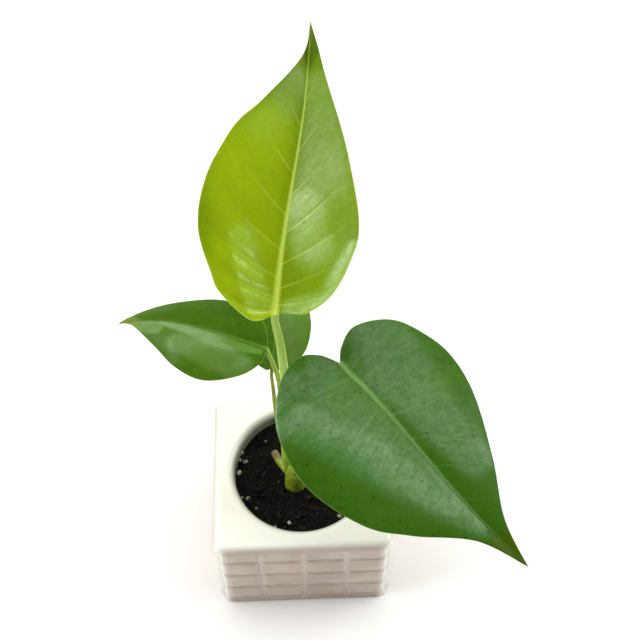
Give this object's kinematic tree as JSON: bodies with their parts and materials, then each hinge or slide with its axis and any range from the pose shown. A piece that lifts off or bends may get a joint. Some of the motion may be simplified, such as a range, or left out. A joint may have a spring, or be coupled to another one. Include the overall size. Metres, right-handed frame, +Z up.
{
  "type": "potted swiss cheese plant",
  "caption": "Young aroid house plant with whole heart-shaped pointed leaves on slender stalks, in a square glazed pot with a tile relief and a round opening.",
  "frame": {"origin": "middle of the pot's flat foot", "axes": "+Z up, along the pot's height; -Y out of the pot's front, +X to the right seen from the front"},
  "size_m": [0.1347, 0.1364, 0.1883],
  "materials": {
    "glaze": "glossy white glaze over a tile relief",
    "soil": "dark damp crumbly potting soil with white perlite",
    "stem": "satin yellow-green",
    "young_stalk": "satin light green",
    "stalk": "satin green",
    "old_stalk": "satin olive",
    "young_leaf": "glossy bright yellow-green, pale midrib and edge line",
    "leaf": "satin dark green, pale midrib and fine net of veins"
  },
  "bodies": {
    "root": {"pot": "glaze", "soil": "soil", "stem": "stem", "stalk_top": "young_stalk", "leaf_top": "young_leaf", "stalk_right": "stalk", "leaf_right": "leaf", "stalk_left": "stalk", "leaf_left": "leaf", "stalk_back": "old_stalk", "leaf_back": "leaf"}
  },
  "joints": []
}
